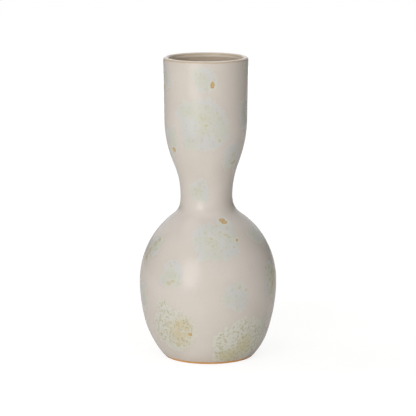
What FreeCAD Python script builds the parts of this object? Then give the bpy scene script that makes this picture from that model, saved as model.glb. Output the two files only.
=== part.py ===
"""Glazed stoneware bottle vase. A thrown bulb and a thrown neck are luted together in the crease
over the shoulder. One glaze coat covers the outside, another the inside, and a third the recess
under the foot.

Frame: millimetres, +Z up, origin at the centre of the foot on the surface that it stands on.
Every piece is turned about Z, so each one starts as a flat section in the XZ plane.
"""

import FreeCAD, Part
import math
import os
from FreeCAD import Vector

# Finished sizes, over the glaze. A rise or a drop is measured from the waist
overall_height = 300.0
mouth_diameter = 83.9
cup_diameter = 82.2
cup_rise = 77.9
waist_diameter = 51.8
waist_height = 162.1
belly_diameter = 136.7
belly_height = 76.2
foot_inset = 23.7

# Bends of the outline, over the glaze, and the straight runs between them
upper_waist_radius = 86.0
lower_waist_radius = 40.0
crease_radius = 18.0
crease_tilt = 11.0
lower_belly_radius = 158.0
heel_tilt = 15.9
shoulder_straight = 0.8
cup_straight = 4.2

# Clay and glaze
wall_thickness = 4.2
floor_thickness = 6.5
bowl_radius = 22.0
glaze_thickness = 0.5

# Foot ring of bare clay, and the recess inside it
foot_ring_width = 7.0
foot_edge_radius = 0.8
foot_bare_height = 1.9
recess_height = 3.6
recess_corner_radius = 2.4
recess_draft = 22.0
recess_bare_draft = 48.0

# Lute joint: the neck's tongue seats in the bulb's rebate on a layer of slip
joint_drop = 12.5
tongue_height = 3.0
slip_thickness = 0.4

UP = 90.0
DOWN = -90.0
LEVEL = 0.0
FULL_TURN = 360.0
AXIS = Vector(0, 0, 1)
ORIGIN = Vector(0, 0, 0)
OUT_DIR = "parts"


def point(radius, height):
    """A point of a section, from its distance to the axis and its height."""
    return Vector(radius, 0, height)


def line(start, end):
    return Part.LineSegment(start, end).toShape()


def facing(angle):
    """The direction at an angle above level, in degrees. Level is away from the axis."""
    turn = math.radians(angle)
    return Vector(math.cos(turn), 0, math.sin(turn))


class Bend:
    """One round stretch of the clay's outside, from the facing where it starts to the one where
    it ends. Its radius is positive where the clay bulges and negative where it is hollow."""

    def __init__(self, centre, radius, start=LEVEL, end=LEVEL):
        self.centre = centre
        self.radius = radius
        self.start = start
        self.end = end

    def at(self, angle, depth=0.0):
        """The point that faces that way, at a depth under the clay's outside."""
        return self.centre + facing(angle) * (self.radius - depth)

    def facing_at(self, height, depth=0.0):
        rise = (height - self.centre.z) / (self.radius - depth)
        return math.degrees(math.asin(rise))

    def over(self, start, end):
        """The same bend between other facings."""
        return Bend(self.centre, self.radius, start, end)

    def joined(self, angle, radius):
        """A bend of another radius that touches this one where it faces that way."""
        return Bend(self.centre + facing(angle) * (self.radius - radius), radius)

    def edge(self, depth):
        middle = (self.start + self.end) / 2
        arc = Part.Arc(self.at(self.start, depth), self.at(middle, depth), self.at(self.end, depth))
        return arc.toShape()


def straight_facing(lower, upper):
    """The facing of the straight run that leaves one bend and joins the next."""
    step = upper.centre - lower.centre
    lean = math.degrees(math.atan2(step.z, step.x))
    return lean - math.degrees(math.acos((lower.radius - upper.radius) / step.Length))


def touching_facing(large, small):
    """The facing where a small bulge touches the large one that it rounds off."""
    step = small.centre - large.centre
    return math.degrees(math.atan2(step.z, step.x))


def bulge_into(hollow, radius, height, straight):
    """The bulge that stands upright at a radius and height and runs into a hollow bend, with a
    straight run of a given length between them."""
    across = hollow.centre.x - radius
    rise = hollow.centre.z - height
    reach = -hollow.radius
    bulge = (across**2 + rise**2 - reach**2 - straight**2) / (2 * (reach - across))
    return Bend(point(radius - bulge, height), bulge)


def bulge_through(before, angle, end):
    """The bulge that leaves another where that faces a given way, and passes through a point."""
    chord = end - before.at(angle)
    return before.joined(angle, -chord.dot(chord) / (2 * chord.dot(facing(angle))))


def rounded_bottom(bulge, depth, height, radius):
    """The bend of a given radius that rounds off a bulge, at a depth under its outside, to a flat
    at a given height."""
    reach = bulge.radius - depth - radius
    drop = bulge.centre.z - height - radius
    across = math.sqrt(reach**2 - drop**2)
    return Bend(point(bulge.centre.x + across, height + radius), radius + depth)


class Outline:
    """The bends of the clay's outside and of its inside, from the foot to the crown of the rim."""

    def __init__(self):
        waist = waist_diameter / 2 - glaze_thickness
        lower_hollow = -lower_waist_radius - glaze_thickness
        upper_hollow = -upper_waist_radius - glaze_thickness
        lower_waist = Bend(point(waist - lower_hollow, waist_height), lower_hollow)
        upper_waist = Bend(point(waist - upper_hollow, waist_height), upper_hollow)
        crease = lower_waist.joined(crease_tilt, -crease_radius - glaze_thickness)

        belly = belly_diameter / 2 - glaze_thickness
        upper_belly = bulge_into(crease, belly, belly_height, shoulder_straight)
        lower_radius = lower_belly_radius - glaze_thickness
        lower_belly = Bend(point(belly - lower_radius, belly_height), lower_radius)
        heel = bulge_through(lower_belly, -heel_tilt, point(belly - foot_inset, 0))
        foot_edge = rounded_bottom(heel, 0, 0, foot_edge_radius)

        cup = cup_diameter / 2 - glaze_thickness
        cup_wall = bulge_into(upper_waist, cup, waist_height + cup_rise, cup_straight)
        lip_radius = wall_thickness / 2
        lip_reach = lip_radius + glaze_thickness
        lip_centre = point(mouth_diameter / 2 - lip_reach, overall_height - lip_reach)
        lip = Bend(lip_centre, lip_radius)

        shoulder = straight_facing(upper_belly, crease)
        flare = straight_facing(upper_waist, cup_wall)
        brim = straight_facing(cup_wall, lip)
        heel_start = touching_facing(heel, foot_edge)
        middle = [
            lower_belly.over(-heel_tilt, LEVEL),
            upper_belly.over(LEVEL, shoulder),
            crease.over(shoulder, crease_tilt),
            lower_waist.over(crease_tilt, LEVEL),
            upper_waist.over(LEVEL, flare),
            cup_wall.over(flare, brim),
        ]
        self.crease = crease
        self.heel = heel.over(heel_start, -heel_tilt)
        self.foot_edge = foot_edge.over(DOWN, heel_start)
        self.outside = [*middle, lip.over(brim, UP)]

        floor_height = recess_height + floor_thickness
        bowl = rounded_bottom(heel, wall_thickness, floor_height, bowl_radius)
        bowl_end = touching_facing(heel, bowl)
        lower_wall = [bowl.over(DOWN, bowl_end), heel.over(bowl_end, -heel_tilt)]
        self.inside = [*lower_wall, *middle, lip.over(brim, DOWN)]


def recess_bend(height, radius, start, end):
    """The bend between the recess's slanted wall and a flat at a given height."""
    slant = math.radians(recess_draft)
    centre_height = height + radius
    ring_inside = belly_diameter / 2 - glaze_thickness - foot_inset - foot_ring_width
    across = (radius - math.sin(slant) * centre_height) / math.cos(slant)
    return Bend(point(ring_inside + across, centre_height), radius, start, end)


def recess():
    """The bends of the recess, from its ceiling to the foot ring."""
    wall_facing = recess_draft + 2 * DOWN
    ceiling_corner = recess_bend(recess_height, -recess_corner_radius, DOWN, wall_facing)
    ring_edge = recess_bend(0, foot_edge_radius, wall_facing, DOWN)
    return ceiling_corner, ring_edge


def run(bends, depth=0.0):
    """The edges along a row of bends at a depth, with a straight one wherever two don't touch."""
    edges = [bends[0].edge(depth)]
    for before, after in zip(bends, bends[1:]):
        end = before.at(before.end, depth)
        start = after.at(after.start, depth)
        if end.distanceToPoint(start) > Part.Precision.confusion():
            edges.append(line(end, start))
        edges.append(after.edge(depth))
    return edges


def filled(edges):
    """The flat face inside a closed row of edges."""
    return Part.Face(Part.Wire(Part.sortEdges(edges)[0]))


def coat_edge(bend, angle):
    """The rolled edge of a glaze coat that ends on a bend, and the facing where it meets clay."""
    reach = 2 * math.asin(glaze_thickness / (2 * abs(bend.radius)))
    clay_angle = angle - math.degrees(reach)
    centre = bend.at(angle)
    crest = bend.at(angle, -glaze_thickness)
    foot = bend.at(clay_angle)
    bisector = (crest + foot) / 2 - centre
    roll = centre + bisector.normalize() * glaze_thickness
    return Part.Arc(crest, roll, foot).toShape(), clay_angle


def clay_section(outline):
    """The whole wall, before it is divided into bulb and neck."""
    ceiling_corner, ring_edge = recess()
    outside = [ceiling_corner, ring_edge, outline.foot_edge, outline.heel, *outline.outside]
    bowl = outline.inside[0]
    floor = bowl.at(bowl.start, wall_thickness)
    ceiling = ceiling_corner.at(ceiling_corner.start)
    edges = run(outside) + run(outline.inside, wall_thickness)
    edges.append(line(floor, point(0, floor.z)))
    edges.append(line(point(0, floor.z), point(0, ceiling.z)))
    edges.append(line(point(0, ceiling.z), ceiling))
    return filled(edges)


def above_seat(outline, clearance):
    """Everything above the stepped seat, lifted clear of it by a given thickness."""
    shoulder_height = waist_height - joint_drop
    tongue_foot = shoulder_height - tongue_height
    crease = outline.crease
    outer = crease.at(crease.facing_at(shoulder_height))
    inner_facing = crease.facing_at(tongue_foot, wall_thickness)
    inner = crease.at(inner_facing, wall_thickness)
    step = (outer.x + inner.x) / 2 - clearance
    low = tongue_foot + clearance
    high = shoulder_height + clearance
    far = belly_diameter
    corners = [
        point(0, low),
        point(step, low),
        point(step, high),
        point(far, high),
        point(far, overall_height),
        point(0, overall_height),
    ]
    return Part.Face(Part.makePolygon([*corners, corners[0]]))


def bulb(outline):
    return clay_section(outline).cut(above_seat(outline, 0))


def neck(outline):
    return clay_section(outline).common(above_seat(outline, slip_thickness))


def joint_slip(outline):
    seat = above_seat(outline, 0).cut(above_seat(outline, slip_thickness))
    return clay_section(outline).common(seat)


def outer_glaze(outline):
    """The coat outside, from its rolled edge over the bare foot to the crown of the rim."""
    heel = outline.heel
    start = heel.facing_at(foot_bare_height + glaze_thickness)
    rolled_edge, clay_start = coat_edge(heel, start)
    lip = outline.outside[-1]
    clay = run([heel.over(clay_start, heel.end), *outline.outside])
    surface = run([heel.over(start, heel.end), *outline.outside], -glaze_thickness)
    crown = line(lip.at(UP), lip.at(UP, -glaze_thickness))
    return filled([*clay, *surface, crown, rolled_edge])


def liner_glaze(outline):
    """The coat inside, from the middle of the floor to the crown of the rim."""
    bowl = outline.inside[0]
    lip = outline.inside[-1]
    glaze_depth = wall_thickness + glaze_thickness
    floor = bowl.at(DOWN, wall_thickness)
    surface = bowl.at(DOWN, glaze_depth)
    edges = run(outline.inside, wall_thickness) + run(outline.inside, glaze_depth)
    edges.append(line(floor, point(0, floor.z)))
    edges.append(line(point(0, floor.z), point(0, surface.z)))
    edges.append(line(point(0, surface.z), surface))
    edges.append(line(lip.at(DOWN, wall_thickness), lip.at(DOWN, glaze_depth)))
    return filled(edges)


def underside_glaze():
    """The coat on the recess's ceiling, which ends on its rounded corner."""
    corner = recess()[0]
    end = recess_bare_draft + 2 * DOWN
    rolled_edge, clay_end = coat_edge(corner, end)
    ceiling = corner.at(DOWN)
    surface = corner.at(DOWN, -glaze_thickness)
    edges = [corner.over(DOWN, clay_end).edge(0), corner.over(DOWN, end).edge(-glaze_thickness)]
    edges.append(line(ceiling, point(0, ceiling.z)))
    edges.append(line(point(0, ceiling.z), point(0, surface.z)))
    edges.append(line(point(0, surface.z), surface))
    return filled([*edges, rolled_edge])


def export(name, section):
    """Turns a flat section about the axis and writes the solid as one part."""
    flat = section.Faces[0]
    solid = flat.revolve(ORIGIN, AXIS, FULL_TURN)
    solid.exportStep(os.path.join(OUT_DIR, name + ".step"))
    print(name, len(section.Faces), solid.ShapeType, solid.isValid(), round(solid.Volume))


def main():
    os.makedirs(OUT_DIR, exist_ok=True)
    outline = Outline()
    export("bulb", bulb(outline))
    export("neck", neck(outline))
    export("joint_slip", joint_slip(outline))
    export("outer_glaze", outer_glaze(outline))
    export("liner_glaze", liner_glaze(outline))
    export("underside_glaze", underside_glaze())


main()
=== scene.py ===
"""Glazed stoneware bottle vase on a pale floor. The clay, the slip ring and the three glaze coats
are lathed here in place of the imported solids, finer and slightly uneven.

Lengths are in metres. Sections lie in the (radius, height) half plane and turn about Z. A mark in
the glaze is a turn to the right of the front in degrees, and a height, half width and half height
in millimetres.
"""

import math

import bmesh
import bpy
from mathutils import Color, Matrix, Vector, noise


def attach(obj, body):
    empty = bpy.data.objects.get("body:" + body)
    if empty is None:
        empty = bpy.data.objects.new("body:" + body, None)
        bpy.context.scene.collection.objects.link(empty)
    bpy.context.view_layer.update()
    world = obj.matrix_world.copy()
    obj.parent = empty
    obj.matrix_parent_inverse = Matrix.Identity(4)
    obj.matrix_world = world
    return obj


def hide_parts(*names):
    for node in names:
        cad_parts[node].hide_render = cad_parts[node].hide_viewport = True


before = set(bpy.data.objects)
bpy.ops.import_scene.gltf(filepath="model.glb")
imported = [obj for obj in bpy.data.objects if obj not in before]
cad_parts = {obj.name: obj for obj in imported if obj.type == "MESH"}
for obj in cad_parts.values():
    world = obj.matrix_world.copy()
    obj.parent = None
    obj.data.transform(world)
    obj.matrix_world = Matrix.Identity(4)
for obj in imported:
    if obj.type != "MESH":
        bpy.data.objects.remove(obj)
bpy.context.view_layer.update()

MM = 0.001

# Finished outline, over the glaze
HEIGHT = 300.0 * MM
MOUTH_RADIUS = 41.95 * MM
CUP_RADIUS = 41.1 * MM
CUP_HEIGHT = 240.0 * MM
WAIST_RADIUS = 25.9 * MM
WAIST_HEIGHT = 162.1 * MM
BELLY_RADIUS = 68.35 * MM
BELLY_HEIGHT = 76.2 * MM
FOOT_INSET = 23.7 * MM
UPPER_WAIST_BEND = 86.0 * MM
LOWER_WAIST_BEND = 40.0 * MM
CREASE_BEND = 18.0 * MM
CREASE_TILT = 11.0
LOWER_BELLY_BEND = 158.0 * MM
HEEL_TILT = 15.9
SHOULDER_STRAIGHT = 0.8 * MM
CUP_STRAIGHT = 4.2 * MM

# Clay and glaze
WALL = 4.2 * MM
FLOOR = 6.5 * MM
BOWL_BEND = 22.0 * MM
GLAZE = 0.5 * MM

# Foot ring and recess
RING_WIDTH = 7.0 * MM
FOOT_EDGE = 0.8 * MM
FOOT_BARE = 1.9 * MM
RECESS_HEIGHT = 3.6 * MM
RECESS_CORNER = 2.4 * MM
RECESS_DRAFT = 22.0
RECESS_BARE = 48.0

# Lute joint
JOINT_DROP = 12.5 * MM
TONGUE = 3.0 * MM
SLIP = 0.4 * MM

# How the hand-made vase departs from the plain turned form
LEAN_START = 132 * MM
JOINT_LEAN = 1.55 * MM
CUP_LEAN = 0.65 * MM
CUP_LEAN_START = 175 * MM
CUP_LEAN_END = 212 * MM
FOOT_LEAN = 0.9 * MM
FOOT_LEAN_START = 10 * MM
FOOT_LEAN_END = 38 * MM
UNEVEN = 0.2 * MM
UNEVEN_SPAN = 40 * MM
THROWING = 0.06 * MM
THROWING_SPAN = 9 * MM
EDGE_WANDER = 0.35 * MM
EDGE_WAVES = 3.0
EDGE_REACH = 12 * MM

# Fineness of the lathed meshes
GLAZE_SIDES = 256
CLAY_SIDES = 160
GLAZE_STEP = 1.6 * MM
CLAY_STEP = 3.2 * MM
BEND_STEP = 9.0
EDGE_STEPS = 4
SHARP = 40.0
JOIN = 0.001 * MM

# Pale blooms where the glaze ran thick
PALE_BLOOMS = [
    (-4, 283, 13, 13), (-4, 239, 24, 25), (3, 228, 22, 17), (-25, 250, 13, 12), (-19, 221, 12, 12),
    (-58, 219, 11, 16), (-70, 282, 8, 14), (66, 245, 9, 16), (47, 205, 11, 14),
    (-16, 169.5, 11, 14), (70, 291, 8, 8), (8, 126, 23, 18), (24, 139, 8, 7), (-5, 116, 9, 9),
    (19, 115.5, 12, 9), (-66, 117, 11, 15), (-33, 93, 13, 14), (25, 72, 13, 16), (66, 83, 13, 17),
    (-70, 66, 9, 14), (68, 126, 14, 9), (60, 33, 8, 9),
    (110, 262, 16, 18), (150, 225, 20, 22), (185, 283, 12, 11), (215, 240, 24, 26),
    (252, 272, 10, 12), (120, 130, 18, 14), (165, 95, 16, 17), (205, 118, 22, 17),
    (240, 85, 12, 14), (105, 60, 12, 14), (170, 170, 8, 10), (275, 190, 9, 12),
]

# Freckled patches low on the belly, and the pools of colour in them
PATCHES = [
    (-34, 36, 25, 25), (-41, 57, 11, 10), (34, 25, 30, 24), (21, 11, 16, 14), (15, 29, 10, 10),
    (69, 80, 9, 15), (135, 40, 26, 22), (190, 28, 20, 18), (235, 50, 14, 15),
]
OCHRE_POOLS = [(-25, 36, 11, 15), (188, 27, 9, 11)]
OLIVE_POOLS = [(37, 20, 9, 14), (23, 9, 12, 6), (72, 80, 6, 12), (138, 38, 12, 10), (236, 48, 7, 8)]

# Ochre specks in the glaze
STRONG_SPECKS = [
    (9.5, 276.8, 2.3, 2.9), (9, 279.4, 0.9, 1.8), (-56, 211, 2.5, 2.4), (-77, 272.6, 2.0, 2.2),
    (24, 142.4, 3.4, 2.2), (26, 140.8, 3.2, 2.0), (33, 125, 1.6, 1.4), (-16.4, 34, 2.2, 1.8),
    (128, 247, 2.2, 2.6), (203, 262, 1.8, 2.0), (160, 137, 3.2, 2.2), (222, 101, 2.0, 2.0),
    (182, 34, 2.4, 2.0), (250, 131, 1.7, 2.1),
]
SOFT_SPECKS = [
    (6, 292, 0.9, 0.9), (16, 249, 1.3, 1.1), (1, 237.5, 2.2, 1.4), (20, 222, 1.9, 1.6),
    (4.5, 227, 0.8, 1.8), (10, 233, 0.8, 2.2), (12, 138, 1.4, 1.1),
    (3.4, 127.6, 2.0, 1.4), (15, 133, 1.6, 1.6), (13, 130.6, 0.8, 2.2), (21.5, 130.4, 2.4, 1.2),
    (24.5, 128.2, 2.4, 1.2), (5, 121, 1.5, 1.2), (8.5, 122, 0.9, 1.4), (27, 119.4, 1.5, 1.3),
    (-34.5, 84.4, 3.0, 2.2), (-30.5, 86.6, 2.6, 1.6), (-34, 101, 1.6, 1.5), (27, 81, 1.8, 1.6),
    (33, 78, 1.7, 1.9), (-27, 44, 2.2, 3.2), (-38, 41, 1.8, 3.0), (-31, 21, 2.4, 3.0),
    (142, 214, 1.6, 1.4), (210, 231, 2.4, 1.5), (221, 252, 1.2, 2.0), (116, 126, 1.6, 1.6),
    (168, 101, 2.6, 2.0), (198, 121, 1.4, 1.8),
]
OLIVE_SPECKS = [
    (51, 197.6, 3.4, 1.5), (55, 198.8, 2.8, 1.5), (-61, 122, 2.6, 2.2), (-65, 118, 3.0, 2.8),
    (-70, 110, 3.0, 5.0), (-72, 103, 2.4, 3.2), (-60, 113, 1.2, 1.6), (-64, 106, 1.3, 1.8),
    (59, 95, 1.4, 1.8), (65, 95, 1.8, 2.4), (60, 88, 1.3, 1.5), (70, 89, 2.0, 3.2), (64, 83, 1.7, 2.2),
    (69, 77, 1.9, 3.0), (60, 77, 1.3, 1.6), (65, 70, 1.6, 2.0), (73, 83, 1.4, 2.0), (66, 89, 1.2, 1.5),
    (-72, 55, 1.5, 1.5), (243, 80, 2.2, 2.6), (104, 64, 1.8, 2.4), (118, 134, 2.4, 1.6),
]


def ink(red, green, blue):
    """A colour from its three parts as a screen shows them, each from 0 to 255."""
    shown = Color((red / 255, green / 255, blue / 255))
    return (*shown.from_srgb_to_scene_linear(), 1.0)


# Sizes, depths and heights of what varies over the surfaces
LOBE_SIZE = 22 * MM
LOBE_REACH = 13 * MM
FRILL_SIZE = 4.5 * MM
FRILL_REACH = 8 * MM
NIBBLE_SIZE = 1.8 * MM
SPECK_FRILL = 1.6 * MM
SPECK_REACH = 2.6 * MM
DRIFT_SIZE = 55 * MM
WEAR_SIZE = 27.5 * MM
GRAIN_SIZE = 1.1 * MM
RIPPLE_SIZE = 6 * MM
RIM_WANDER = 0.8 * MM
RIM_LINE_LOW = 298.0 * MM
RIM_LINE_HIGH = 299.3 * MM
RIM_LINE_SOFT = 0.4 * MM
SWELL_SIZE = 9 * MM
SWELL_DEPTH = 0.06 * MM
PEEL_SIZE = 1.3 * MM
PEEL_DEPTH = 0.02 * MM
# Heights of the liner's pale band, a painted highlight on the inner lip's rounding, and the softness of
# the darker line below it
PALE_BAND_LOW = 295.6 * MM
PALE_BAND_HIGH = 296.1 * MM
DARK_LINE_SOFT = 0.8 * MM
STREAK_SIZE = 2.4 * MM
PINHOLE_SPACING = 7 * MM
PINHOLE_DEPTH = 0.08 * MM
TINT_SIZE = 16 * MM
CORE_SIZE = 11 * MM
DOT_SPACING = 2.2 * MM
DOT_REACH = 1.8 * MM
VEIN_SIZE = 6 * MM
VEIN_GAP = 9 * MM
POOL_SIZE = 5 * MM
FOOT_LINE = 1.2 * MM
FOOT_LINE_CORE = 0.36 * MM
CLAY_DRIFT = 12 * MM
SAND_SIZE = 0.7 * MM
SAND_DEPTH = 0.08 * MM
TURNED_SIZE = 0.6 * MM
TURNED_DEPTH = 0.12 * MM
PAPER_SIZE = 0.8 * MM
PAPER_DEPTH = 0.01 * MM

# Noise: the value it lies round, and how much detail it has
NOISE_MIDDLE = 0.5
SMOOTH, USUAL, FINE = 1.0, 2.0, 3.0

# How far noise nibbles at a bloom's edge, as a share of the bloom's size
NIBBLE = 0.35

# Patterns drawn out by changing more slowly: the dots upward, the streaks round the vase
DOT_DRAWN = 0.68
STREAK_DRAWN = 0.1

# Fades: where a mask is nothing, and where it is full
DRIFT_FADE = 0.35, 0.65
GRAIN_FADE = 0.35, 0.7
BLOOM_FADE = 1.08, 0.9
TINT_FADE = 0.42, 0.6
CORE_FADE = 0.8, 0.15
CORE_CLOUD_FADE = 0.38, 0.62
VEIN_FADE = 0.09, 0.02
VEIN_GAP_FADE = 0.48, 0.56
DOT_FADE = 0.62, 0.3
DOT_HALO_FADE = 0.75, 0.5
DOT_PICK = 0.0, 0.55
FRECKLE_PICK = 0.72, 0.8
DOTTED_FADE = 1.15, 0.75
PATCH_FADE = 1.1, 0.85
POOL_FADE = 1.5, 0.5
MOTTLE_FADE = 0.2, 0.5
HALO_FADE = 2.4, 1.2
SPECK_FADE = 1.15, 0.8
SPECK_MIDDLE_FADE = 0.8, 0.25
PINHOLE_FADE = 0.05, 0.02
PINHOLE_PICK = 0.7, 0.72
LINER_CLOUD_FADE = 0.5, 0.64
STREAK_FADE = 0.5, 0.66
SAND_FADE = 0.45, 0.2
SAND_PICK = 0.6, 0.75

# How strongly each colour is laid on
GRAIN_STRENGTH = 0.12
BLOOM_STRENGTH = 0.9
CORE_STRENGTH = 0.7
VEIN_STRENGTH = 0.5
FRECKLE_STRENGTH = 0.35
PATCH_STRENGTH = 0.85
POOL_STRENGTH = 0.85
DOT_HALO_STRENGTH = 0.5
DOT_STRENGTH = 0.6
SOFT_SPECK_STRENGTH = 0.45
OLIVE_SPECK_STRENGTH = 0.5
STRONG_SPECK_STRENGTH = 0.9
HALO_SHARE = 0.4
RIM_LINE_STRENGTH = 0.75
# Strength of the painted highlight on the rim's crown
CROWN_HIGHLIGHT_STRENGTH = 0.85
EDGE_STRENGTH = 0.6
LINER_CLOUD_STRENGTH = 0.4
STREAK_STRENGTH = 0.4
# Strengths of the inner lip's painted highlight and of the darker line below it
LIP_HIGHLIGHT_STRENGTH = 0.85
DARK_LINE_STRENGTH = 0.25
SAND_STRENGTH = 0.6

# Gloss and roughness
GLOSS_BEND = 1.42
SHINE = 0.5
SATIN = 0.2
WEAR = 0.08
MATTE = 0.1
BARE = 0.88
SAND_POLISH = -0.15
FLOOR_ROUGH = 0.9

# Colours
BASE_WARM = ink(203, 195, 187)
BASE_COOL = ink(199, 191, 182)
GRAIN_INK = ink(176, 165, 150)
BLOOM_BLUE = ink(192, 191, 188)
BLOOM_GREEN = ink(191, 191, 180)
CORE_INK = ink(188, 189, 175)
FRECKLE_INK = ink(176, 172, 148)
PATCH_INK = ink(198, 198, 188)
OCHRE_POOL_INK = ink(192, 178, 144)
OLIVE_POOL_INK = ink(188, 181, 145)
DOT_INK = ink(160, 146, 108)
HALO_INK = ink(204, 203, 190)
VEIN_INK = ink(186, 170, 128)
STRONG_RIM_INK = ink(172, 136, 82)
STRONG_INK = ink(200, 172, 116)
SOFT_RIM_INK = ink(179, 164, 120)
SOFT_INK = ink(191, 184, 150)
OLIVE_RIM_INK = ink(166, 152, 106)
RIM_LINE_INK = ink(182, 163, 139)
# Painted highlight: the pale colour of the rim's crown, where it catches the light
CROWN_HIGHLIGHT_INK = ink(223, 215, 205)
EDGE_INK = ink(212, 198, 178)
# The liner's own browner glaze, darkened further by painted shade for the inside of the mouth; the
# underside coat shares these colours
LINER_AND_SHADE_WARM = ink(202, 184, 164)
LINER_AND_SHADE_COOL = ink(193, 178, 159)
LINER_CLOUD_INK = ink(203, 196, 182)
# The liner's streaks and the darker line below the inner lip; the inner lip's pale band is a painted
# highlight
LINER_DARK_INK = ink(150, 132, 112)
LIP_HIGHLIGHT_INK = ink(224, 212, 197)
CLAY_PLAIN = ink(210, 158, 95)
CLAY_PALE = ink(220, 168, 104)
CLAY_DARK = ink(150, 104, 66)
SLIP_PLAIN = ink(176, 132, 92)
SLIP_PALE = ink(192, 150, 108)
FLOOR_INK = ink(245, 243, 239)
PAPER_INK = ink(240, 238, 234)
BLACK = ink(0, 0, 0)
WHITE = ink(255, 255, 255)

# Lamps
LAMPS = {
    "key": dict(turn=-30.0, rise=12.0, distance=1.8, size=(0.86, 1.12), level=0.38, mirrored=True),
    "fill": dict(turn=1.0, rise=10.0, distance=2.4, size=(1.8, 0.7), level=0.447, mirrored=False),
    "top": dict(turn=20.0, rise=84.0, distance=1.6, size=(2.2, 2.2), level=0.68, mirrored=True),
    "side": dict(turn=-100.0, rise=30.0, distance=2.2, size=(0.9, 1.2), level=0.17, mirrored=False),
    "back": dict(turn=178.0, rise=8.0, distance=2.4, size=(0.6, 0.9), level=0.2, mirrored=False),
}

# Surroundings: how bright they are, how far the floor reaches, and where the shadow fades
AMBIENT = 0.02
ROOM = 0.12
BACKDROP_FADE = 0.9, 1.0
BACKDROP_HIGHER = 0.9
SURROUND = 1.0
FLOOR_REACH = 14.0
FLOOR_LIFT = 0.995
FLOOR_VEIL = 0.92
SHADOW_LIFT = 0.86
SHADOW_VEIL = 0.75
SHADOW_FADE = 0.12, 0.5
MIRRORED_LIFT = 0.08

# Camera
AIM = (0.0, 0.0, 0.14876)
EYE = (0.0, -2.265, 0.5616)
SENSOR = 36.0
LENS = 200.2

# Facings, in degrees above level
UP, DOWN, LEVEL, INWARD = 90.0, -90.0, 0.0, -180.0


def at(radius, height):
    return Vector((radius, height))


def facing(angle):
    """A step of length one in the section, at an angle above level."""
    turn = math.radians(angle)
    return Vector((math.cos(turn), math.sin(turn)))


class Bend:
    """A round stretch of the clay's outside, between two facings in degrees above level. Its
    radius is positive where the clay bulges and negative where it is hollow."""

    def __init__(self, centre, radius, start=LEVEL, end=LEVEL):
        self.centre = centre
        self.radius = radius
        self.start = start
        self.end = end

    def at(self, angle, depth=0.0):
        return self.centre + facing(angle) * (self.radius - depth)

    def facing_at(self, height, depth=0.0):
        return math.degrees(math.asin((height - self.centre.y) / (self.radius - depth)))

    def over(self, start, end):
        return Bend(self.centre, self.radius, start, end)

    def joined(self, angle, radius):
        """A bend of another radius that runs on from this one at a facing."""
        return Bend(self.centre + facing(angle) * (self.radius - radius), radius)

    def points(self, depth, step):
        """Points along the bend, no further apart than a step or a turn of BEND_STEP."""
        swing = abs(self.end - self.start)
        length = abs(self.radius - depth) * math.radians(swing)
        count = max(1, math.ceil(length / step), math.ceil(swing / BEND_STEP))
        turns = [self.start + (self.end - self.start) * n / count for n in range(count + 1)]
        return [self.at(turn, depth) for turn in turns]


def straight_facing(lower, upper):
    """The facing of the straight that touches two bends."""
    step = upper.centre - lower.centre
    tilt = math.degrees(math.atan2(step.y, step.x))
    return tilt - math.degrees(math.acos((lower.radius - upper.radius) / step.length))


def touching_facing(large, small):
    """The facing at which a small bend touches a large one from inside."""
    step = small.centre - large.centre
    return math.degrees(math.atan2(step.y, step.x))


def bulge_into(hollow, radius, height, straight):
    """The bulge that is widest at a height and runs into a hollow by a straight of a length."""
    across = hollow.centre.x - radius
    rise = hollow.centre.y - height
    reach = -hollow.radius
    bulge = (across**2 + rise**2 - reach**2 - straight**2) / (2 * (reach - across))
    return Bend(at(radius - bulge, height), bulge)


def bulge_through(before, angle, end):
    """The bulge that runs on from a bend at a facing and passes through a point."""
    chord = end - before.at(angle)
    return before.joined(angle, -chord.dot(chord) / (2 * chord.dot(facing(angle))))


def rounded_bottom(bulge, depth, height, radius):
    """The bend that touches a bulge at a depth, from inside, and a flat at a height."""
    reach = bulge.radius - depth - radius
    drop = bulge.centre.y - height - radius
    return Bend(at(bulge.centre.x + math.sqrt(reach**2 - drop**2), height + radius), radius + depth)


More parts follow.
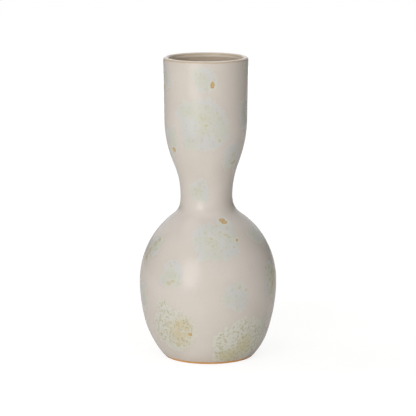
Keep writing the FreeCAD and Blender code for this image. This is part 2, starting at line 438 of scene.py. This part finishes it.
class Outline:
    """The bends of the clay's outside and inside, from the foot to the crown of the rim."""

    def __init__(self):
        waist = WAIST_RADIUS - GLAZE
        lower_waist = Bend(at(waist + LOWER_WAIST_BEND + GLAZE, WAIST_HEIGHT), -LOWER_WAIST_BEND - GLAZE)
        upper_waist = Bend(at(waist + UPPER_WAIST_BEND + GLAZE, WAIST_HEIGHT), -UPPER_WAIST_BEND - GLAZE)
        crease = lower_waist.joined(CREASE_TILT, -CREASE_BEND - GLAZE)
        belly = BELLY_RADIUS - GLAZE
        upper_belly = bulge_into(crease, belly, BELLY_HEIGHT, SHOULDER_STRAIGHT)
        lower_radius = LOWER_BELLY_BEND - GLAZE
        lower_belly = Bend(at(belly - lower_radius, BELLY_HEIGHT), lower_radius)
        heel = bulge_through(lower_belly, -HEEL_TILT, at(belly - FOOT_INSET, 0))
        foot_edge = rounded_bottom(heel, 0, 0, FOOT_EDGE)
        bowl = rounded_bottom(heel, WALL, RECESS_HEIGHT + FLOOR, BOWL_BEND)
        cup_wall = bulge_into(upper_waist, CUP_RADIUS - GLAZE, CUP_HEIGHT, CUP_STRAIGHT)
        lip_reach = WALL / 2 + GLAZE
        lip = Bend(at(MOUTH_RADIUS - lip_reach, HEIGHT - lip_reach), WALL / 2)

        shoulder = straight_facing(upper_belly, crease)
        flare = straight_facing(upper_waist, cup_wall)
        brim = straight_facing(cup_wall, lip)
        heel_start = touching_facing(heel, foot_edge)
        bowl_end = touching_facing(heel, bowl)
        neck = [
            lower_waist.over(CREASE_TILT, LEVEL),
            upper_waist.over(LEVEL, flare),
            cup_wall.over(flare, brim),
        ]
        self.foot_edge = foot_edge.over(DOWN, heel_start)
        self.heel = heel.over(heel_start, -HEEL_TILT)
        self.belly = [lower_belly.over(-HEEL_TILT, LEVEL), upper_belly.over(LEVEL, shoulder)]
        self.crease = crease.over(shoulder, CREASE_TILT)
        self.bowl = [bowl.over(DOWN, bowl_end), heel.over(bowl_end, -HEEL_TILT)]
        self.neck_outside = [*neck, lip.over(brim, UP)]
        self.neck_inside = [*neck, lip.over(brim, DOWN)]
        self.outside = [*self.belly, self.crease, *self.neck_outside]
        self.inside = [*self.bowl, *self.belly, self.crease, *self.neck_inside]


def recess_bend(height, radius, start, end):
    """The bend between the recess's slanted wall and a flat at a given height."""
    slant = math.radians(RECESS_DRAFT)
    centre_height = height + radius
    ring_inside = BELLY_RADIUS - GLAZE - FOOT_INSET - RING_WIDTH
    across = (radius - math.sin(slant) * centre_height) / math.cos(slant)
    return Bend(at(ring_inside + across, centre_height), radius, start, end)


def recess():
    """The bends of the recess: its ceiling's corner and the ring's inner edge."""
    wall_facing = RECESS_DRAFT + INWARD
    ceiling_corner = recess_bend(RECESS_HEIGHT, -RECESS_CORNER, DOWN, wall_facing)
    return ceiling_corner, recess_bend(0, FOOT_EDGE, wall_facing, DOWN)


def run(bends, depth, step=CLAY_STEP):
    """Points along a row of bends at a depth, with points between them where two don't touch."""
    row = []
    for bend in bends:
        fresh = bend.points(depth, step)
        if row:
            gap = fresh[0] - row[-1]
            count = max(1, math.ceil(gap.length / step))
            row += [row[-1] + gap * (n / count) for n in range(1, count)]
            if gap.length < JOIN:
                fresh = fresh[1:]
        row += fresh
    return row


def coat_edge(bend, angle):
    """The rolled edge of a glaze coat that ends on a bend, from its crest to the clay, and the
    facing where it meets the clay."""
    reach = 2 * math.asin(GLAZE / (2 * abs(bend.radius)))
    clay_angle = angle - math.degrees(reach)
    centre = bend.at(angle)
    crest = bend.at(angle, -GLAZE) - centre
    foot = bend.at(clay_angle) - centre
    turns = [n / EDGE_STEPS for n in range(1, EDGE_STEPS)]
    return [centre + crest.slerp(foot, share) * GLAZE for share in turns], clay_angle


class Seat:
    """The stepped seat between bulb and neck, which the slip fills."""

    def __init__(self, outline):
        self.crease = outline.crease
        self.high = WAIST_HEIGHT - JOINT_DROP
        self.low = self.high - TONGUE
        outer = self.crease.at(self.crease.facing_at(self.high))
        inner = self.crease.at(self.crease.facing_at(self.low, WALL), WALL)
        self.step = (outer.x + inner.x) / 2

    def outer_facing(self, lift=0.0):
        return self.crease.facing_at(self.high + lift)

    def inner_facing(self, lift=0.0):
        return self.crease.facing_at(self.low + lift, WALL)

    def corners(self, lift=0.0):
        """The step's two corners, outer one first."""
        return [at(self.step - lift, self.high + lift), at(self.step - lift, self.low + lift)]


def bulb_loop(outline):
    """The bulb's section: out through the recess, up the skin to the seat and down inside."""
    ceiling_corner, ring_edge = recess()
    seat = Seat(outline)
    crease = outline.crease
    outer_crease = crease.over(crease.start, seat.outer_facing())
    inner_crease = crease.over(crease.start, seat.inner_facing())
    skin = [outline.foot_edge, outline.heel, *outline.belly, outer_crease]
    outer = run([ceiling_corner, ring_edge, *skin], 0.0)
    inner = run([*outline.bowl, *outline.belly, inner_crease], WALL)
    floor = at(0, inner[0].y)
    return [at(0, outer[0].y), *outer, *seat.corners(), *reversed(inner), floor]


def neck_loop(outline):
    """The neck's section: up its outside, over the rim and down inside to the seat."""
    seat = Seat(outline)
    crease = outline.crease
    outer_crease = crease.over(seat.outer_facing(SLIP), crease.end)
    inner_crease = crease.over(seat.inner_facing(SLIP), crease.end)
    outer = run([outer_crease, *outline.neck_outside], 0.0)
    inner = run([inner_crease, *outline.neck_inside], WALL)
    return [*outer, *reversed(inner[:-1]), *reversed(seat.corners(SLIP))]


def slip_loop(outline):
    """The slip's section: the layer between the two halves of the seat."""
    seat = Seat(outline)
    crease = outline.crease
    outer = crease.over(seat.outer_facing(), seat.outer_facing(SLIP)).points(0.0, CLAY_STEP)
    inner = crease.over(seat.inner_facing(SLIP), seat.inner_facing()).points(WALL, CLAY_STEP)
    return [*outer, *seat.corners(SLIP), *inner, *reversed(seat.corners())]


def outer_loop(outline):
    """The outer coat's section: its surface, the clay behind it and its rolled edge."""
    heel = outline.heel
    start = heel.facing_at(FOOT_BARE + GLAZE)
    edge, clay_start = coat_edge(heel, start)
    surface = run([heel.over(start, heel.end), *outline.outside], -GLAZE, GLAZE_STEP)
    clay = run([heel.over(clay_start, heel.end), *outline.outside], 0.0)
    return [*surface, *reversed(clay), *reversed(edge)]


def liner_loop(outline):
    """The liner's section: the clay behind it and its surface."""
    clay = run(outline.inside, WALL)
    surface = run(outline.inside, WALL + GLAZE, GLAZE_STEP)
    return [at(0, clay[0].y), *clay, *reversed(surface), at(0, surface[0].y)]


def underside_loop():
    """The underside coat's section: the recess's ceiling, with a rolled edge."""
    corner = recess()[0]
    end = RECESS_BARE + INWARD
    edge, clay_end = coat_edge(corner, end)
    clay = run([corner.over(DOWN, clay_end)], 0.0)
    surface = run([corner.over(DOWN, end)], -GLAZE)
    return [at(0, clay[0].y), *clay, *reversed(edge), *reversed(surface), at(0, surface[0].y)]


def smoothstep(value, low, high):
    """0 up to the low value, 1 from the high one, and smooth between them."""
    share = min(max((value - low) / (high - low), 0.0), 1.0)
    return share * share * (3 - 2 * share)


def lean(height):
    """How far the vase's middle stands to the right of the belly's. The neck was luted on a
    little to the left, and the foot was turned a little to the right."""
    joint = smoothstep(height, LEAN_START, WAIST_HEIGHT)
    cup = smoothstep(height, CUP_LEAN_START, CUP_LEAN_END)
    foot = 1 - smoothstep(height, FOOT_LEAN_START, FOOT_LEAN_END)
    return FOOT_LEAN * foot - JOINT_LEAN * joint - CUP_LEAN * cup


def thrown(radius, height, turn):
    """Where a point of a section lies on the finished vase: leaning, and slightly out of round,
    always inward."""
    across, along = math.cos(turn), math.sin(turn)
    spot = Vector((across * BELLY_RADIUS, along * BELLY_RADIUS, height))
    swell = UNEVEN * (1 + noise.noise(spot / UNEVEN_SPAN)) / 2
    ring = THROWING * (1 + noise.noise(Vector((across, along, height / THROWING_SPAN)))) / 2
    shrunk = swell * smoothstep(height, 0, BELLY_RADIUS) + ring
    reach = radius - shrunk * smoothstep(radius, 0, WAIST_RADIUS)
    return Vector((lean(height) + reach * across, reach * along, height))


def coated(radius, height, turn):
    """As thrown, with the glaze's lower edge running a little up and down round the foot."""
    place = thrown(radius, height, turn)
    wander = noise.noise(Vector((math.cos(turn), math.sin(turn), 0)) * EDGE_WAVES)
    place.z += EDGE_WANDER * (1 + wander) * (1 - smoothstep(height, FOOT_BARE, EDGE_REACH))
    return place


def lathe(name, loop, sides, material, node, place=thrown):
    """Turns a closed loop of section points about the axis, in rings with a number of sides, and
    puts the piece in its node's place."""
    made = bmesh.new()
    rings = []
    for point in loop:
        if point.x < JOIN:
            rings.append([made.verts.new(place(0.0, point.y, 0.0))] * sides)
        else:
            turns = [math.tau * n / sides for n in range(sides)]
            rings.append([made.verts.new(place(point.x, point.y, turn)) for turn in turns])
    for ring, following in zip(rings, [*rings[1:], rings[0]]):
        if ring[0] is ring[1] and following[0] is following[1]:
            continue
        for n in range(sides):
            beside = (n + 1) % sides
            corners = [ring[n], ring[beside], following[beside], following[n]]
            made.faces.new(list(dict.fromkeys(corners)))
    bmesh.ops.recalc_face_normals(made, faces=made.faces)
    mesh = bpy.data.meshes.new(name)
    made.to_mesh(mesh)
    made.free()
    mesh.shade_smooth()
    mesh.set_sharp_from_angle(angle=math.radians(SHARP))
    mesh.materials.append(material)
    piece = bpy.data.objects.new(name, mesh)
    bpy.context.scene.collection.objects.link(piece)
    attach(piece, "root")
    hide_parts(node)


class Graph:
    """The nodes of a material or a world. An input takes a number, a colour or another node's
    socket."""

    def __init__(self, owner):
        owner.use_nodes = True
        self.owner = owner
        self.tree = owner.node_tree

    def node(self, kind, inputs=(), **settings):
        made = self.tree.nodes.new(kind)
        for key, value in settings.items():
            setattr(made, key, value)
        for key, value in dict(inputs).items():
            self.feed(made.inputs[key], value)
        return made

    def feed(self, socket, value):
        if isinstance(value, bpy.types.NodeSocket):
            self.tree.links.new(value, socket)
        else:
            socket.default_value = value

    def maths(self, operation, first, second=0.0):
        return self.node("ShaderNodeMath", {0: first, 1: second}, operation=operation).outputs[0]

    def vectors(self, operation, first, second=(0.0, 0.0, 0.0)):
        made = self.node("ShaderNodeVectorMath", {0: first, 1: second}, operation=operation)
        return made.outputs["Value" if operation == "LENGTH" else "Vector"]

    def between(self, share, first, second):
        """The first number where the share is 0, the second where it is 1."""
        return self.node("ShaderNodeMix", {0: share, 2: first, 3: second}).outputs[0]

    def mix(self, share, first, second):
        """The first colour where the share is 0, the second where it is 1."""
        ends = {0: share, 6: first, 7: second}
        return self.node("ShaderNodeMix", ends, data_type="RGBA").outputs[2]

    def fade(self, value, none, full, least=0.0):
        """The least where the value is none, 1 where it is full, and smooth between them."""
        ends = {"Value": value, "From Min": none, "From Max": full, "To Min": least}
        return self.node("ShaderNodeMapRange", ends, interpolation_type="SMOOTHSTEP").outputs[0]

    def share(self, strength, *masks):
        """The product of a strength and masks."""
        for mask in masks:
            strength = self.maths("MULTIPLY", mask, strength)
        return strength


class Surface(Graph):
    """The nodes of one material, and the colour laid on it so far."""

    def __init__(self, name):
        super().__init__(bpy.data.materials.new(name))
        self.shader = self.tree.nodes["Principled BSDF"]
        self.place = self.node("ShaderNodeTexCoord").outputs["Object"]
        self.height = self.node("ShaderNodeSeparateXYZ", {0: self.place}).outputs["Z"]
        self.colour = None

    def lay(self, colour, strength, *masks):
        """Lays a colour over the one so far, at a strength, where the masks are."""
        self.colour = self.mix(self.share(strength, *masks), self.colour, colour)

    def clouds(self, size, detail=USUAL, place=None):
        """A noise texture with lumps of about the given size."""
        ends = {"Vector": place or self.place, "Scale": 1 / size, "Detail": detail}
        return self.node("ShaderNodeTexNoise", ends)

    def cloud(self, size, detail=USUAL, place=None):
        """Soft noise round a half."""
        return self.clouds(size, detail, place).outputs["Fac"]

    def wander(self, size, reach):
        """Noise round nothing, a reach apart at its lowest and its highest."""
        return self.maths("MULTIPLY", self.maths("SUBTRACT", self.cloud(size), NOISE_MIDDLE), reach)

    def warped(self, place, size, reach):
        """Places pushed about by noise."""
        noisy = self.clouds(size, SMOOTH, place).outputs["Color"]
        push = self.vectors("SUBTRACT", noisy, (NOISE_MIDDLE,) * 3)
        ends = {0: push, 1: (reach,) * 3, 2: place}
        return self.node("ShaderNodeVectorMath", ends, operation="MULTIPLY_ADD").outputs[0]

    def cells(self, size, place=None):
        """Cells of about the given size: each point's distance from its cell's centre, as a share
        of that size, and a number from 0 to 1 for each cell."""
        made = self.node("ShaderNodeTexVoronoi", {"Vector": place or self.place, "Scale": 1 / size})
        pick = self.node("ShaderNodeSeparateXYZ", {0: made.outputs["Color"]}).outputs["X"]
        return made.outputs["Distance"], pick

    def cell_edges(self, size, place):
        """Each point's distance from the edge of its cell, as a share of the cells' size."""
        ends = {"Vector": place, "Scale": 1 / size}
        made = self.node("ShaderNodeTexVoronoi", ends, feature="DISTANCE_TO_EDGE")
        return made.outputs["Distance"]

    def nearest(self, marks, skin, place):
        """The distance from the nearest mark's middle, as a share of its own size."""
        nearest = None
        for turn, height, across, along in marks:
            middle = on_skin(skin, math.radians(turn), height * MM)
            offset = self.vectors("SUBTRACT", place, middle)
            scale = (1 / (across * MM), 1 / (across * MM), 1 / (along * MM))
            away = self.vectors("LENGTH", self.vectors("MULTIPLY", offset, scale))
            nearest = self.maths("MINIMUM", nearest, away) if nearest else away
        return nearest

    def bump(self, height, depth, normal=None):
        """Raises the surface by a depth where the height goes from 0 to 1."""
        ends = {"Height": height, "Distance": depth, "Strength": 1.0}
        if normal:
            ends["Normal"] = normal
        return self.node("ShaderNodeBump", ends).outputs[0]

    def finish(self, roughness, normal, shine=SHINE):
        self.feed(self.shader.inputs["IOR"], GLOSS_BEND)
        self.feed(self.shader.inputs["Specular IOR Level"], shine)
        self.feed(self.shader.inputs["Base Color"], self.colour)
        self.feed(self.shader.inputs["Roughness"], roughness)
        self.feed(self.shader.inputs["Normal"], normal)
        return self.owner


def on_skin(skin, turn, height):
    """The middle of a mark on the outside, given its turn to the right of the front and its
    height."""
    above = next(n for n, point in enumerate(skin) if point.y >= height)
    low, high = skin[above - 1], skin[above]
    reach = low.x + (high.x - low.x) * (height - low.y) / (high.y - low.y)
    return (lean(height) + reach * math.sin(turn), -reach * math.cos(turn), height)


def lay_base(glaze, warm, cool):
    """The plain glaze: slow drifts of hue and a fine grain."""
    glaze.colour = glaze.mix(glaze.fade(glaze.cloud(DRIFT_SIZE), *DRIFT_FADE), warm, cool)
    grain = glaze.fade(glaze.cloud(GRAIN_SIZE, FINE), *GRAIN_FADE)
    glaze.lay(GRAIN_INK, GRAIN_STRENGTH, grain)


def lay_blooms(glaze, skin, rough):
    """Pale blooms with a greener core and thin veins. Returns where the blooms are."""
    away = glaze.nearest(PALE_BLOOMS, skin, rough)
    away = glaze.maths("ADD", away, glaze.wander(NIBBLE_SIZE, NIBBLE))
    bloom = glaze.fade(away, *BLOOM_FADE)
    tint = glaze.mix(glaze.fade(glaze.cloud(TINT_SIZE), *TINT_FADE), BLOOM_BLUE, BLOOM_GREEN)
    glaze.lay(tint, BLOOM_STRENGTH, bloom)

    cloudy = glaze.fade(glaze.cloud(CORE_SIZE), *CORE_CLOUD_FADE)
    core = glaze.maths("MULTIPLY", glaze.fade(away, *CORE_FADE), cloudy)
    glaze.lay(CORE_INK, CORE_STRENGTH, core)
    vein = glaze.fade(glaze.cell_edges(VEIN_SIZE, rough), *VEIN_FADE)
    gaps = glaze.fade(glaze.cloud(VEIN_GAP), *VEIN_GAP_FADE)
    glaze.lay(VEIN_INK, VEIN_STRENGTH, vein, core, gaps)
    return bloom


def lay_patches(glaze, skin, wide, rough, bloom):
    """Freckled patches with pools of colour, and a few freckles in the blooms too. Returns where
    the patches are."""
    pushed = glaze.warped(wide, FRILL_SIZE, DOT_REACH)
    drawn = glaze.vectors("MULTIPLY", pushed, (1.0, 1.0, DOT_DRAWN))
    spot, pick = glaze.cells(DOT_SPACING, drawn)
    dot = glaze.fade(spot, *DOT_FADE)
    glaze.lay(FRECKLE_INK, FRECKLE_STRENGTH, dot, bloom, glaze.fade(pick, *FRECKLE_PICK))

    away = glaze.nearest(PATCHES, skin, rough)
    patch = glaze.fade(away, *PATCH_FADE)
    glaze.lay(PATCH_INK, PATCH_STRENGTH, patch)
    for pools, colour in ((OCHRE_POOLS, OCHRE_POOL_INK), (OLIVE_POOLS, OLIVE_POOL_INK)):
        pooled = glaze.fade(glaze.nearest(pools, skin, rough), *POOL_FADE)
        mottled = glaze.fade(glaze.cloud(POOL_SIZE), *MOTTLE_FADE)
        glaze.lay(colour, POOL_STRENGTH, pooled, mottled)

    dotted = glaze.maths("MULTIPLY", glaze.fade(away, *DOTTED_FADE), glaze.fade(pick, *DOT_PICK))
    glaze.lay(HALO_INK, DOT_HALO_STRENGTH, glaze.fade(spot, *DOT_HALO_FADE), dotted)
    glaze.lay(DOT_INK, DOT_STRENGTH, dot, dotted)
    return patch


def lay_specks(glaze, skin):
    """Specks with a darker rim and a pale halo: the soft ones, the olive ones, the strong ones."""
    close = glaze.warped(glaze.place, SPECK_FRILL, SPECK_REACH)
    for specks, strength, rim, middle in (
        (SOFT_SPECKS, SOFT_SPECK_STRENGTH, SOFT_RIM_INK, SOFT_INK),
        (OLIVE_SPECKS, OLIVE_SPECK_STRENGTH, OLIVE_RIM_INK, SOFT_INK),
        (STRONG_SPECKS, STRONG_SPECK_STRENGTH, STRONG_RIM_INK, STRONG_INK),
    ):
        away = glaze.nearest(specks, skin, close)
        glaze.lay(HALO_INK, HALO_SHARE * strength, glaze.fade(away, *HALO_FADE))
        glaze.lay(rim, strength, glaze.fade(away, *SPECK_FADE))
        glaze.lay(middle, strength, glaze.fade(away, *SPECK_MIDDLE_FADE))


def lay_rim(glaze):
    """The tan line where the glaze breaks over the rim, and a painted highlight: the crown laid pale
    where it catches the light.
    """
    height = glaze.maths("ADD", glaze.height, glaze.wander(RIPPLE_SIZE, RIM_WANDER))
    above = glaze.fade(height, RIM_LINE_LOW - RIM_LINE_SOFT, RIM_LINE_LOW)
    below = glaze.fade(height, RIM_LINE_HIGH + RIM_LINE_SOFT, RIM_LINE_HIGH)
    glaze.lay(RIM_LINE_INK, RIM_LINE_STRENGTH, above, below)
    # Painted highlight: the crown is laid pale where the rim's top catches the light
    crown = glaze.fade(height, RIM_LINE_HIGH, RIM_LINE_HIGH + RIM_LINE_SOFT)
    glaze.lay(CROWN_HIGHLIGHT_INK, CROWN_HIGHLIGHT_STRENGTH, crown)


def satin(glaze, matte=0.0):
    """The glaze's roughness and normal: a satin gloss, a soft orange peel and rare pinholes."""
    swell = glaze.bump(glaze.cloud(SWELL_SIZE), SWELL_DEPTH)
    peel = glaze.bump(glaze.cloud(PEEL_SIZE, SMOOTH), PEEL_DEPTH, swell)
    away, pick = glaze.cells(PINHOLE_SPACING)
    hole = glaze.maths("MULTIPLY", glaze.fade(away, *PINHOLE_FADE), glaze.fade(pick, *PINHOLE_PICK))
    normal = glaze.bump(hole, -PINHOLE_DEPTH, peel)
    worn = glaze.maths("MULTIPLY", glaze.cloud(WEAR_SIZE), WEAR)
    roughness = glaze.maths("ADD", glaze.maths("ADD", worn, SATIN), matte)
    return roughness, normal


def outer_material(skin):
    """The outer glaze: blooms, patches, specks, the rim's tan line and painted crown highlight, a thin
    foot edge.
    """
    glaze = Surface("outer_glaze")
    wide = glaze.warped(glaze.place, LOBE_SIZE, LOBE_REACH)
    rough = glaze.warped(wide, FRILL_SIZE, FRILL_REACH)
    lay_base(glaze, BASE_WARM, BASE_COOL)
    bloom = lay_blooms(glaze, skin, rough)
    patch = lay_patches(glaze, skin, wide, rough, bloom)
    lay_specks(glaze, skin)
    lay_rim(glaze)
    edge = glaze.fade(glaze.height, FOOT_BARE + FOOT_LINE, FOOT_BARE + FOOT_LINE_CORE)
    glaze.lay(EDGE_INK, EDGE_STRENGTH, edge)
    matte = glaze.share(MATTE, glaze.maths("MAXIMUM", bloom, patch))
    return glaze.finish(*satin(glaze, matte))


def inner_material():
    """The liner: cloudy glaze, throwing streaks, a painted highlight on the inner lip, a darker line
    below it.
    """
    glaze = Surface("liner_glaze")
    # Partly painted shade: the liner's colours are darker than its glaze, standing in for the shade
    # inside the mouth
    lay_base(glaze, LINER_AND_SHADE_WARM, LINER_AND_SHADE_COOL)
    cloudy = glaze.fade(glaze.cloud(CORE_SIZE, FINE), *LINER_CLOUD_FADE)
    glaze.lay(LINER_CLOUD_INK, LINER_CLOUD_STRENGTH, cloudy)
    drawn = glaze.vectors("MULTIPLY", glaze.place, (STREAK_DRAWN, STREAK_DRAWN, 1.0))
    streak = glaze.fade(glaze.cloud(STREAK_SIZE, USUAL, drawn), *STREAK_FADE)
    glaze.lay(LINER_DARK_INK, STREAK_STRENGTH, streak)
    # Painted highlight: a pale band on the inner lip's rounding, with a darker line below it
    painted_lip_highlight = glaze.fade(glaze.height, PALE_BAND_LOW, PALE_BAND_HIGH)
    glaze.lay(LIP_HIGHLIGHT_INK, LIP_HIGHLIGHT_STRENGTH, painted_lip_highlight)
    dark_line = glaze.fade(glaze.height, PALE_BAND_LOW - DARK_LINE_SOFT, PALE_BAND_LOW)
    glaze.lay(LINER_DARK_INK, DARK_LINE_STRENGTH, dark_line, glaze.fade(painted_lip_highlight, 1.0, 0.0))
    lay_rim(glaze)
    return glaze.finish(*satin(glaze))


def clay_material(name, plain, pale, dark):
    """Bare fired clay: sandy, with turned lines."""
    clay = Surface(name)
    clay.colour = clay.mix(clay.fade(clay.cloud(CLAY_DRIFT, FINE), *DRIFT_FADE), plain, pale)
    away, pick = clay.cells(SAND_SIZE)
    sand = clay.maths("MULTIPLY", clay.fade(away, *SAND_FADE), clay.fade(pick, *SAND_PICK))
    clay.lay(dark, SAND_STRENGTH, sand)
    turned = clay.node("ShaderNodeCombineXYZ", {"Z": clay.height}).outputs[0]
    lines = clay.bump(clay.cloud(TURNED_SIZE, SMOOTH, turned), TURNED_DEPTH)
    normal = clay.bump(clay.cloud(SAND_SIZE, FINE), SAND_DEPTH, lines)
    roughness = clay.maths("ADD", clay.maths("MULTIPLY", sand, SAND_POLISH), BARE)
    return clay.finish(roughness, normal)


def floor_material():
    """A pale floor. Rays that look at it see it lifted to white, but less close to the vase, so
    that the vase's soft shadow shows there."""
    floor = Surface("floor")
    rays = floor.node("ShaderNodeLightPath").outputs
    seen = floor.maths("MAXIMUM", rays["Is Camera Ray"], rays["Is Transmission Ray"])
    far = floor.fade(floor.vectors("LENGTH", floor.place), *SHADOW_FADE)
    lifted = floor.maths("MULTIPLY", seen, floor.between(far, SHADOW_LIFT, FLOOR_LIFT))
    mirrored = floor.maths("MULTIPLY", rays["Is Glossy Ray"], MIRRORED_LIFT)
    floor.feed(floor.shader.inputs["Emission Color"], WHITE)
    floor.feed(floor.shader.inputs["Emission Strength"], floor.maths("ADD", lifted, mirrored))
    paper = floor.cloud(PAPER_SIZE, FINE)
    floor.colour = floor.mix(paper, FLOOR_INK, PAPER_INK)
    floor.lay(BLACK, floor.between(far, SHADOW_VEIL, FLOOR_VEIL), seen)
    return floor.finish(FLOOR_ROUGH, floor.bump(paper, PAPER_DEPTH), shine=0.0)


def lay_floor():
    made = bmesh.new()
    bmesh.ops.create_grid(made, x_segments=1, y_segments=1, size=FLOOR_REACH)
    mesh = bpy.data.meshes.new("floor")
    made.to_mesh(mesh)
    made.free()
    mesh.materials.append(floor_material())
    floor = bpy.data.objects.new("floor", mesh)
    bpy.context.scene.collection.objects.link(floor)


def light_world():
    """Even light all round, and a white surround for whatever looks past the vase. Gloss sees the
    surround white high behind the vase, where the backdrop is lit, and dimmer elsewhere."""
    world = bpy.data.worlds.new("studio")
    studio = Graph(world)
    rays = studio.node("ShaderNodeLightPath").outputs
    towards = studio.node("ShaderNodeTexCoord").outputs["Generated"]
    direction = studio.node("ShaderNodeSeparateXYZ", {0: towards}).outputs
    high = studio.maths("MULTIPLY", direction["Z"], BACKDROP_HIGHER)
    backdrop = studio.fade(studio.maths("ADD", high, direction["Y"]), *BACKDROP_FADE, least=ROOM)
    strength = studio.between(rays["Is Glossy Ray"], AMBIENT, backdrop)
    strength = studio.between(rays["Is Transmission Ray"], strength, SURROUND)
    strength = studio.between(rays["Is Camera Ray"], strength, SURROUND)
    background = studio.tree.nodes["Background"].inputs
    studio.feed(background["Strength"], strength)
    studio.feed(background["Color"], WHITE)
    bpy.context.scene.world = world


def hang_lamp(name, turn, rise, distance, size, level, mirrored):
    """A soft lamp that looks at the vase's middle, from a turn to the right of the front and a
    rise above level, in degrees. A white surface that faces it renders at its level, and gloss
    shows it where it is mirrored."""
    around, up = math.radians(turn), math.radians(rise)
    outward = Vector((math.sin(around) * math.cos(up), -math.cos(around) * math.cos(up), math.sin(up)))
    data = bpy.data.lights.new(name, "AREA")
    data.shape = "RECTANGLE"
    data.size, data.size_y = size
    data.energy = level * (math.pi * distance) ** 2
    lamp = bpy.data.objects.new(name, data)
    lamp.location = Vector(AIM) + outward * distance
    lamp.rotation_euler = outward.to_track_quat("Z", "Y").to_euler()
    lamp.visible_camera = False
    lamp.visible_glossy = mirrored
    bpy.context.scene.collection.objects.link(lamp)


def set_camera():
    data = bpy.data.cameras.new("camera")
    data.sensor_width = SENSOR
    data.lens = LENS
    camera = bpy.data.objects.new("camera", data)
    camera.location = EYE
    camera.rotation_euler = (Vector(EYE) - Vector(AIM)).to_track_quat("Z", "Y").to_euler()
    bpy.context.scene.collection.objects.link(camera)
    bpy.context.scene.camera = camera


def dress_vase():
    """The six pieces of the vase, each in its node's place."""
    outline = Outline()
    skin = run([outline.foot_edge, outline.heel, *outline.outside], -GLAZE)
    clay = clay_material("clay", CLAY_PLAIN, CLAY_PALE, CLAY_DARK)
    slip = clay_material("slip", SLIP_PLAIN, SLIP_PALE, CLAY_PLAIN)
    inner = inner_material()
    lathe("bulb_clay", bulb_loop(outline), CLAY_SIDES, clay, "bulb")
    lathe("neck_clay", neck_loop(outline), CLAY_SIDES, clay, "neck")
    lathe("slip_ring", slip_loop(outline), CLAY_SIDES, slip, "joint_slip")
    outer = outer_material(skin)
    lathe("outer_coat", outer_loop(outline), GLAZE_SIDES, outer, "outer_glaze", coated)
    lathe("inner_coat", liner_loop(outline), GLAZE_SIDES, inner, "liner_glaze")
    lathe("underside_coat", underside_loop(), GLAZE_SIDES, inner, "underside_glaze")


dress_vase()
lay_floor()
light_world()
for name, lamp in LAMPS.items():
    hang_lamp(name, **lamp)
set_camera()
bpy.context.scene.view_settings.view_transform = "Standard"
